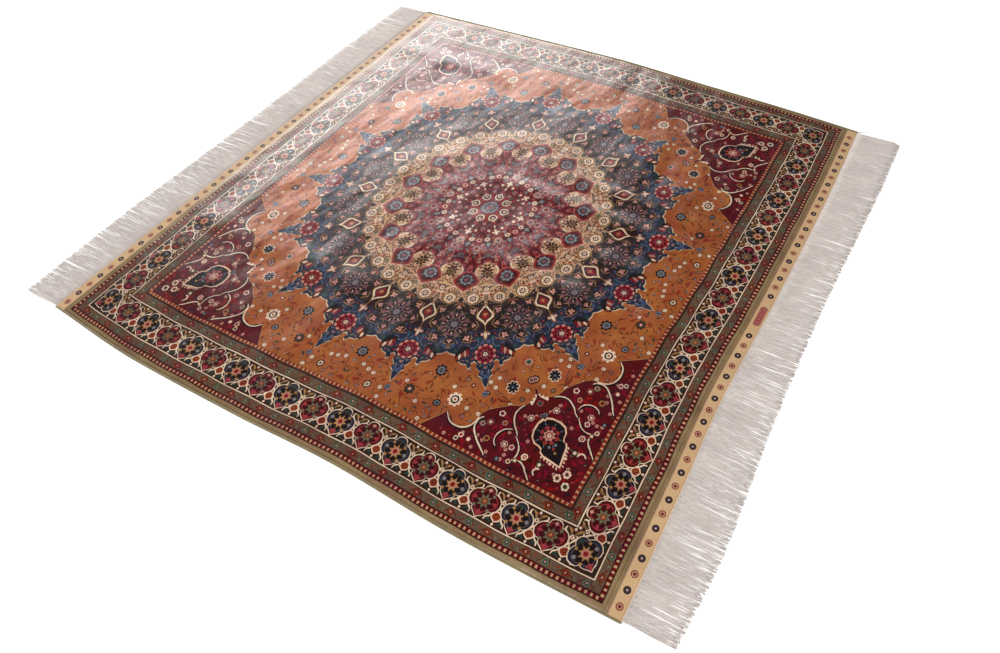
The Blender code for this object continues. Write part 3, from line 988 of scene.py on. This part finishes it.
hearts = onDiagonals(498.0)
lay(field, stacked(heart, (("rust", 1.045), ("ivory", 1.01), ("rust", 0.93), ("night", 0.90))), hearts)
for k in range(6):
    tooth = moved([("ivory", leaf(7, 3.4, -3))], 27 - 4.4 * k, 27 + 7 * k, -50)
    for side in (1, -1):
        lay(field, mirrored(tooth, side), hearts)
heartFill = []
for k in range(8):
    outer = "teal" if k % 2 else "blue"
    heartFill += about([(outer, leaf(9, 4, 3)), ("mist", leaf(5, 1.5, 2))], 23, 45 * k, 30)
heartFill += [
    ("wine", petals(8, 23.5, 17)), ("rose", petals(8, 21.5, 15)),
    ("wine", petals(8, 17, 12, turn=math.pi / 8)), ("blush", petals(8, 13, 9)), ("crimson", disc(7.4, 8)),
    ("ivory", petals(6, 5.6, 3.2)), ("rust", disc(2.0, 5)),
]
heartBuds = (
    (0, 40, "rose"), (7, 33, "mist"), (-7, 33, "mist"), (0, 50, "gold"), (15, 22, "rust"), (-15, 22, "rust"),
    (0, -36, "teal"),
)
for x, y, dye in heartBuds:
    heartFill += moved([(dye, petals(5, 3.8, 2.2))], x, y - 8)
lay(field, heartFill, onDiagonals(491.0))
tell("corners laid", field)


pileReach = np.array((750.0, 745.0))  # half sizes of the pile, across and along


def pileHeight(spots):
    # the pile's shorn top, lower at its cut rim
    out = (pileReach - np.abs(spots)).min(axis=1) / 1000
    return rug["pileRim"] + (rug["pile"] - rug["pileRim"]) * ramp(0, rug["rimWidth"], out)


# the field is cut into three sheets along circles that no eye follows, each with the shapes that reach it
seams = {"middle": 340, "clusters": 458}
reach = 4  # millimetres to either side of a seam
middleCircle, seamCircle = disc(seams["middle"], 96), disc(seams["clusters"], 128)
middleShapes, clusterShapes, outerShapes = [], [], []
for dye, outline in field:
    away = np.hypot(*outline.T)
    whole = within(outline, np.zeros((1, 2)))[0]
    if away.min() < seams["middle"] + reach or whole:
        middleShapes.append((dye, outline))
    if (away.min() < seams["clusters"] + reach or whole) and away.max() > seams["middle"] - reach:
        clusterShapes.append((dye, outline))
    if away.max() > seams["clusters"] - reach:
        outerShapes.append((dye, outline))
middleShapes = [("aubergine", middleCircle)] + middleShapes
clusterShapes = [("aubergine", seamCircle)] + clusterShapes + [(None, middleCircle)]
pileMiddle = makeSheet("pile_middle", middleShapes, pileHeight, pileSilk)
pileClusters = makeSheet("pile_clusters", clusterShapes, pileHeight, pileSilk)
pileField = makeSheet("pile_field", outerShapes + [(None, seamCircle)], pileHeight, pileSilk)

# borders: stripes between fine lines, given as (half side, dye) from the outer edge inwards
border = []
borderLines = (
    (743.2, "olive"), (742, "edge"), (735, "bark"), (733, "garnet"), (725, "wine"), (723, "clay"),
    (706.6, "bark"), (705.4, "ivory"), (703, "bark"), (633, "ivory"), (630.4, "bark"), (628.6, "clay"),
    (609, "bark"),
)
lay(border, [("edge", plate(*pileReach))] + [(dye, plate(half)) for half, dye in borderLines])
lay(border, [("cream", plate(2.3, 3))], sideWays(130, 11.2, 729.2))
lay(border, [("crimson", diamond(3.2, 4.2))], sideWays(129, 11.2, 729.2))

# inner and outer flower stripes: a grey-green flower and a red one by turns, over a row of slanting leaves
stripes = {
    "inner": {"out": 618.8, "pitch": 89.8, "count": 14, "size": 0.92, "leaves": 49},
    "outer": {"out": 714.8, "pitch": 84.2, "count": 17, "size": 0.76, "leaves": 57},
}
greyFlower = [
    ("bark", disc(12.4, 6)), ("sage", disc(11.2, 6)), ("teal", spikes(6, 9.4, 5.4)),
    ("blush", disc(3.0, 6)), ("bark", disc(1.4, 4)),
]
rustFlower = [
    ("bark", petals(4, 12.4, 8.2)), ("rust", petals(4, 11.2, 7.2)), ("wine", petals(4, 7.4, 4.6)),
    ("blush", disc(3.2, 6)), ("crimson", disc(1.5, 4)),
]
between = [
    ("bark", ribbon([(-10, -9), (-3, -2), (3, 2), (10, 9)], 2.0, 1)),
    ("rust", leaf(8, 3.8, 2)),
    ("olive", leaf(-9, 4.4, 2)),
]
for stripe in stripes.values():
    count, pitch, out, size = (stripe[key] for key in ("count", "pitch", "out", "size"))
    for dye, shift, aside, turn in (("sage", 0, 4, 38), ("rust", 12, -4, -38)):
        ways = sideWays(stripe["leaves"], 24, out + aside * size, shift)
        lay(border, moved([(dye, diamond(3.6, 10))], turn=turn), ways)
    for shift, shapes in ((-0.25, greyFlower), (0.25, rustFlower)):
        lay(border, moved(shapes, size=size), sideWays(count, pitch, out, shift * pitch))
        for side in (1, -1):
            ways = sideWays(count, pitch, out, (shift + side * 0.125) * pitch)
            lay(border, mirrored(between, side, size), ways)

# rosettes of the main border, navy and crimson by turns, one on each corner
rosettes = {
    "start": -669.0, "pitch": 74.33, "out": 668.0, "count": 18,
    "navy": {
        "line": "clay", "ground": "navy", "deep": "night", "petal": "gold",
        "leaf": "mist", "foot": "teal", "star": "blush", "eye": "crimson",
    },
    "crimson": {
        "line": "rose", "ground": "garnet", "deep": "wine", "petal": "sage",
        "leaf": "rose", "foot": "blush", "star": "clay", "eye": "gold",
    },
}
rosette = paired([
    (0, -33), (6, -32), (11.5, -28), (13.5, -21), (20, -20.5), (28, -17), (33.5, -10), (35.2, -1), (32, 8),
    (25.5, 14), (17.5, 15.5), (16, 21), (11, 26), (5, 30), (0, 35),
])


def rosetteShapes(kind):
    part = rosettes[kind]
    line, petal = part["line"], part["petal"]
    rows = (("ivory", 1.02), ("bark", 0.955), (part["ground"], 0.90), (line, 0.78), (part["deep"], 0.73))
    shapes = stacked(rosette, rows)
    for x, y in ((15, 14), (-15, 14), (14, -15), (-14, -15)):
        shapes += moved([(petal, diamond(8, 8))], x, y)
    for x, y, turn in ((22, -2, -90), (-22, -2, 90), (0, -23, 180), (0, 22, 0)):
        shapes += moved([(part["leaf"], leaf(9, 8)), (line, diamond(3.4, 5))], x * 0.82, y * 0.82, turn)
    shapes += moved([("rose", fleur * 0.9)], 0, 24)
    shapes += moved([("bark", disc(5, 6)), (part["foot"], disc(3.8, 6))], 0, -24)
    shapes += [("bark", spikes(8, 17.5, 10)), (petal, spikes(8, 15.6, 8.6))]
    shapes += [(part["star"], petals(8, 9.4, 6)), ("rust", disc(5.6, 8)), (part["eye"], disc(3.0, 6))]
    return shapes


def rosetteWay(turn, k):
    return turn, turn @ np.array((rosettes["start"] + rosettes["pitch"] * k, rosettes["out"]))


def rosetteWays(first, corner):
    ways = []
    for turn in quarterTurns:
        if corner:
            ways.append((turn @ spin(45), turn @ np.array((rosettes["start"], -rosettes["start"]))))
        ways += [rosetteWay(turn, k) for k in range(first, rosettes["count"], 2) if k]
    return ways


gaps = [rosetteWay(turn, k + 0.5) for turn in quarterTurns for k in range(rosettes["count"])]
scroll = [
    ("ivory", ribbon([(0.5, 2), (-5, -8), (-12, -17), (-19, -23), (-17, -30)], 3.6, 2, 0.5)),
    ("ivory", ribbon([(0.5, 0), (8, 10), (14, 20), (20, 24), (21, 31)], 3.3, 2, 0.5)),
    ("gold", ribbon([(-3, -20), (-9, -27), (-14, -30)], 4.6, 1, 0.5)),
    ("teal", ribbon([(8, 30), (13, 25), (19, 29)], 4.4, 1, 0.5)),
    ("olive", ribbon([(2, -14), (6, -22), (5, -29)], 3.6, 1, 0.5)),
    ("rose", leaf(5, 3, 1) + (-4, -29)),
]
for side in (1, -1):
    lay(border, mirrored(scroll, side), gaps)
tulip = paired([(0, -10), (6, -8), (11, -1), (10, 6), (5, 9), (0, 12)])
tulips = stacked(tulip, (("ivory", 1.0), ("rust", 0.78))) + [("bark", diamond(8, 9)), ("copper", disc(2, 5))]
lay(border, moved(tulips, 0, 15), gaps)
for y in (31, -30):
    lay(border, moved([("ivory", diamond(6, 7))], 0, y), gaps)
lay(border, moved([("ivory", petals(4, 5.4, 2.6)), ("rust", disc(2, 5))], 0, -14), gaps)
lay(border, rosetteShapes("crimson"), rosetteWays(1, False))
lay(border, rosetteShapes("navy"), rosetteWays(0, True))
tell("borders laid", border)
pileBorder = makeSheet("pile_border", border + [(None, plate(seamHalf))], pileHeight, pileSilk, 24.0)

for piece in (pileMiddle, pileClusters, pileField, pileBorder):
    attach(piece, "root")
    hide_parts("pile_body")

# flat-woven end bands
bandLook = {
    "shader": {"Roughness": 0.62, "Specular IOR Level": 0.4, "Sheen Weight": 0.12, "Sheen Roughness": 0.5},
    "tone": {"Drift": 0.10, "Knots": 0.12},
    "relief": {"Pitch": 0.0008, "Nap": 0.002},
}
bandPlan = {"inner": 750.3, "outer": 780.0, "half": 745.0, "row": 764.6, "pitch": 31.1, "last": 738}
bandSilk = dyedSilk("band", bandLook)


def strip(low, high):
    half = bandPlan["half"]
    return np.array([(low, -half), (high, -half), (high, half), (low, half)], float)


def bandHeight(spots):
    return np.full(len(spots), rug["bandThick"])


def bandPattern(side):
    low, high, row = bandPlan["inner"], bandPlan["outer"], bandPlan["row"]
    rows = [("flax", strip(low, high)), ("cream", strip(low, low + 1.6)), ("ivory", strip(high - 2.6, high))]
    rows += [("gold", strip(high - 3.6, high - 2.6))]
    redStar = [
        ("crimson", petals(8, 8.0, 6.0, 0.75)), ("flax", disc(5.2, 8)), ("crimson", spikes(8, 4.9, 2.8)),
        ("night", disc(1.7, 6)),
    ]
    darkRing = [("aubergine", disc(7.6, 12)), ("lilac", disc(3.0, 6)), ("ivory", disc(1.6, 5))]
    for way, first in ((-1, -71.0), (1, 59.0)):
        for k in range(22):
            y = first + way * k * bandPlan["pitch"]
            if abs(y) < bandPlan["last"]:
                rows += moved(redStar if k % 2 else darkRing, row, y)
    if side > 0:
        # a small bare cartouche, with a plain row of dots
        slot = []
        for a in np.linspace(0, 2 * math.pi, 17)[:-1]:
            end = 22 if math.sin(a) > 0 else -22
            slot.append((8.6 * math.cos(a), end + 8.6 * math.sin(a)))
        shapes = stacked(np.array(slot), (("crimson", 1.0), ("blush", (0.78, 0.92)), ("rose", (0.62, 0.86))))
        shapes += [("blush", diamond(4.2, 6) + (0, 9.5 * k)) for k in range(-2, 3)]
        rows += moved(shapes, 765.4, -7.5)
    else:
        rows += moved(redStar, row, 27.8) + moved(darkRing, row, -3.2) + moved(redStar, row, -34.4)
    return mirrored(rows, side)


for label, side in (("left", -1), ("right", 1)):
    band = makeSheet("band_" + label, bandPattern(side), bandHeight, bandSilk, 12.0, 12.0)
    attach(band, "root")
    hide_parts("kilim_" + label)

# overcast side cords
cordLook = {"step": 0.0010, "wrap": 0.0031, "sides": 8, "ridge": 0.07, "endRun": 0.006, "gap": 0.0001}
tailLook = {"half": 0.0011, "taper": 0.55, "knot": 8}
tailRoute = ((0.004, 0.0020), (0.010, 0.0065), (0.017, 0.0085), (0.025, 0.0060), (0.032, 0.0075))


def threadLook(drift, knots, sheen):
    return {
        "shader": {"Roughness": 0.6, "Sheen Weight": sheen},
        "tone": {"Drift": drift, "Knots": knots},
        "relief": {"Pitch": 0.0009, "Nap": 0.0},
    }


oliveThread = silkMaterial("overcast_thread", (126, 112, 76), threadLook(0.3, 0.3, 0.15))
paleThread = silkMaterial("thread_tail", (190, 184, 178), threadLook(0.1, 0.2, 0.1))
darkThread = silkMaterial("thread_knot", (44, 34, 38), threadLook(0.1, 0.2, 0.1))


def makeCord(name, side, tail=()):
    reach = rug["half"] + rug["band"]
    stations = np.arange(-reach, reach + 1e-9, cordLook["step"])
    sides = cordLook["sides"]
    around = np.arange(sides) * 2 * math.pi / sides
    rings = []
    for x in stations:
        ends = min(1, 0.35 + (reach - abs(x)) / cordLook["endRun"])
        swell = 1 + cordLook["ridge"] * np.sin(2 * math.pi * x / cordLook["wrap"] + around)
        u = 0.5 + 0.49 * np.cos(around) * swell * ends
        v = 0.5 + 0.5 * np.sin(around) * swell * ends
        rings.append(np.column_stack((np.full(len(around), x), u, np.clip(v, 0.02, 1.05))))
    flat = np.vstack(rings)
    inner = rug["half"] - rug["cordWidth"] + cordLook["gap"]
    along = side * (inner + flat[:, 1] * rug["cordWidth"])
    points = rugPoints(np.column_stack((flat[:, 0], along)), flat[:, 2] * rug["cordHeight"]).tolist()
    if tail:
        endX, endY, _ = rugPoints(np.array([(reach, side * (inner + 0.5 * rug["cordWidth"]))]))[0]
        route = curve([(0.0015, 0.0)] + list(tail), 5)
        for k, (stepX, stepY) in enumerate(route):
            half = tailLook["half"] * (1 - tailLook["taper"] * k / len(route))
            for a in around:
                y = endY + side * stepY + half * math.cos(a)
                points.append((endX + stepX, y, half * 1.05 + half * math.sin(a)))
    count = len(points) // sides
    faces = []
    for k in range(count - 1):
        for i in range(sides):
            a, b = k * sides + i, k * sides + (i + 1) % sides
            face = (a, b, b + sides, a + sides)
            faces.append(face if side < 0 else face[::-1])
    faces.append(tuple(range(sides))[::-1 if side < 0 else 1])
    faces.append(tuple(range(len(points) - sides, len(points)))[::1 if side < 0 else -1])
    mesh = bpy.data.meshes.new(name)
    mesh.from_pydata(points, [], faces)
    for material in (oliveThread, darkThread, paleThread):
        mesh.materials.append(material)
    if tail:
        for face in mesh.polygons:
            ring = face.vertices[0] // sides - len(stations)
            if ring >= -3:
                face.material_index = 1 if ring < tailLook["knot"] else 2
    mesh.shade_smooth()
    cord = bpy.data.objects.new(name, mesh)
    bpy.context.scene.collection.objects.link(cord)
    print(f"{name}: {2 * len(faces)} triangles")
    return cord


cords = {"near": makeCord("cord_near", -1), "far": makeCord("cord_far", 1, tailRoute)}
for label, cord in cords.items():
    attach(cord, "root")
    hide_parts("selvedge_" + label)

# fringes
fringePlan = {
    "strands": 2200,
    "root": 0.7803,
    "inset": 0.006,
    "jitter": 0.0004,
    "bunch": 0.0061,
    "pull": 0.09,
    "radius": 0.00070,
    "steps": 7,
    "taper": 0.22,
    "ragged": 0.009,
    "short": {"share": 0.12, "most": 0.018},
    "lean": {"bunch": 0.0013, "strand": 0.0011},
    "lowest": 0.00005,
    "reach": {
        "right": ((-0.74, 0.886), (-0.55, 0.898), (-0.25, 0.888), (0.0, 0.887), (0.30, 0.896), (0.56, 0.906)),
        "left": ((-0.74, 0.897), (-0.40, 0.906), (0.0, 0.902), (0.45, 0.905), (0.74, 0.898)),
    },
}
warpSilk = silkMaterial("warp_silk", (214, 203, 196), threadLook(0.1, 0.1, 0.25))


def makeFringe(label, side, seed):
    dice = np.random.default_rng(seed)
    plan = fringePlan
    count, steps = plan["strands"], plan["steps"]
    halfAlong = rug["half"] - plan["inset"]
    along = np.linspace(-halfAlong, halfAlong, count) + dice.uniform(-plan["jitter"], plan["jitter"], count)
    root = rugPoints(np.column_stack((np.full(count, side * plan["root"]), along)))
    tipX = through(plan["reach"][label], along) - dice.random(count) ** 2 * plan["ragged"]
    short = plan["short"]
    tipX -= np.where(dice.random(count) < short["share"], dice.uniform(0, short["most"], count), 0)
    bunch = np.round(along / plan["bunch"])
    centre = bunch * plan["bunch"]
    bunchLeans = np.random.default_rng(seed + 1).normal(0, plan["lean"]["bunch"], 400)
    lean = bunchLeans[(bunch + 200).astype(int) % 400]
    own = dice.normal(0, plan["lean"]["strand"], count)
    phase = dice.uniform(0, 6.28, count)
    level = dice.uniform(0.2, 1.0, count)
    rings = []
    for k in range(steps + 1):
        f = k / steps
        x = side * (np.abs(root[:, 0]) + (tipX - np.abs(root[:, 0])) * f)
        gather = plan["pull"] * math.sin(math.pi * min(1, f * 1.3)) ** 0.8 if f * 1.3 < 1 else 0
        y = root[:, 1] + (centre - along) * gather
        y = y + 0.0035 * f * np.sin(9 * along + side) + 0.002 * f * np.sin(31 * along)
        y = y + lean * f ** 1.5 + own * f * 2 + 0.0009 * f * np.sin(5.5 * f + phase) * (1 + f)
        z = 0.0006 + level * (0.0016 - 0.0009 * f) + 0.0002 * np.sin(9 * f + phase)
        half = plan["radius"] * (1 - plan["taper"] * f)
        ring = []
        for a in (math.pi / 2, math.pi * 7 / 6, math.pi * 11 / 6):
            low = np.maximum(z + half * math.sin(a), plan["lowest"])
            ring.append(np.column_stack((x, y + half * math.cos(a) * 1.15, low)))
        rings.append(np.stack(ring, 1))
    points = np.stack(rings, 1).reshape(-1, 3)
    first = np.arange(count)[:, None] * (steps + 1) * 3
    faces = []
    for k in range(steps):
        for i in range(3):
            a, b = 3 * k + i, 3 * k + (i + 1) % 3
            quad = (a, b, b + 3, a + 3) if side > 0 else (a + 3, b + 3, b, a)
            faces.append(first + np.array(quad))
    quads = np.vstack(faces).tolist()
    rootEnd, tipEnd = ((2, 1, 0), (0, 1, 2)) if side > 0 else ((0, 1, 2), (2, 1, 0))
    quads += np.vstack((first + np.array(rootEnd), first + 3 * steps + np.array(tipEnd))).tolist()
    mesh = bpy.data.meshes.new("fringe_warps_" + label)
    mesh.from_pydata(points.tolist(), [], quads)
    mesh.materials.append(warpSilk)
    mesh.shade_smooth()
    fringe = bpy.data.objects.new("fringe_warps_" + label, mesh)
    bpy.context.scene.collection.objects.link(fringe)
    print(f"{fringe.name}: {count * (steps * 6 + 2)} triangles")
    return fringe


fringes = {"left": makeFringe("left", -1, 11), "right": makeFringe("right", 1, 23)}
for label, fringe in fringes.items():
    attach(fringe, "root")
    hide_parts("fringe_" + label)

# floor, light and camera
floorMesh = bpy.data.meshes.new("floor")
floorLook = {"half": 14, "level": -0.0004, "glow": 0.35, "white": 0.93}
floorCorners = [(x, y, floorLook["level"]) for x, y in plate(floorLook["half"])]
floorMesh.from_pydata(floorCorners, [], [(0, 1, 2, 3)])
floor = bpy.data.objects.new("floor", floorMesh)
bpy.context.scene.collection.objects.link(floor)
floorPaint = bpy.data.materials.new("paleFloor")
floorPaint.use_nodes = True
floorShader = floorPaint.node_tree.nodes["Principled BSDF"]
floorShader.inputs["Base Color"].default_value = (*[floorLook["white"]] * 3, 1)
floorShader.inputs["Roughness"].default_value = 0.9
floorShader.inputs["Emission Color"].default_value = (1, 1, 1, 1)
floorShader.inputs["Emission Strength"].default_value = floorLook["glow"]
floorMesh.materials.append(floorPaint)


def areaLight(name, place, wide, high, power):
    # a softbox that faces the rug's middle
    data = bpy.data.lights.new(name, "AREA")
    data.shape = "RECTANGLE"
    data.size = wide
    data.size_y = high
    data.energy = power
    light = bpy.data.objects.new(name, data)
    light.location = place
    light.rotation_euler = (-Vector(place)).to_track_quat("-Z", "Y").to_euler()
    bpy.context.scene.collection.objects.link(light)


areaLight("backSoftbox", (-3.1, 2.7, 1.54), 4.4, 1.88, 186)
areaLight("frontSoftbox", (1.1, -3.3, 4.2), 3.8, 3.6, 266)
world = bpy.data.worlds.new("studio")
bpy.context.scene.world = world
world.use_nodes = True
sky = world.node_tree.nodes["Background"]
sky.inputs["Color"].default_value = (1, 1, 1, 1)
sky.inputs["Strength"].default_value = 0.14

view = {
    "place": (0.929, -0.973, 1.227),
    "forward": (-0.31026, 0.51175, -0.80116),
    "up": (-0.35581, 0.71898, 0.59705),
    "lens": 23.86,
    "shift": (-0.1056, -0.0054),
}
cameraData = bpy.data.cameras.new("camera")
cameraData.lens = view["lens"]
cameraData.sensor_width = 36
cameraData.shift_x, cameraData.shift_y = view["shift"]
cameraData.clip_end = 60
camera = bpy.data.objects.new("camera", cameraData)
back = -Vector(view["forward"]).normalized()
right = Vector(view["up"]).cross(back).normalized()
facing = Matrix((right, back.cross(right), back)).transposed().to_4x4()
camera.matrix_world = Matrix.Translation(view["place"]) @ facing
bpy.context.scene.collection.objects.link(camera)
bpy.context.scene.camera = camera
bpy.context.scene.view_settings.view_transform = "Standard"
print("floor, light and camera ready")
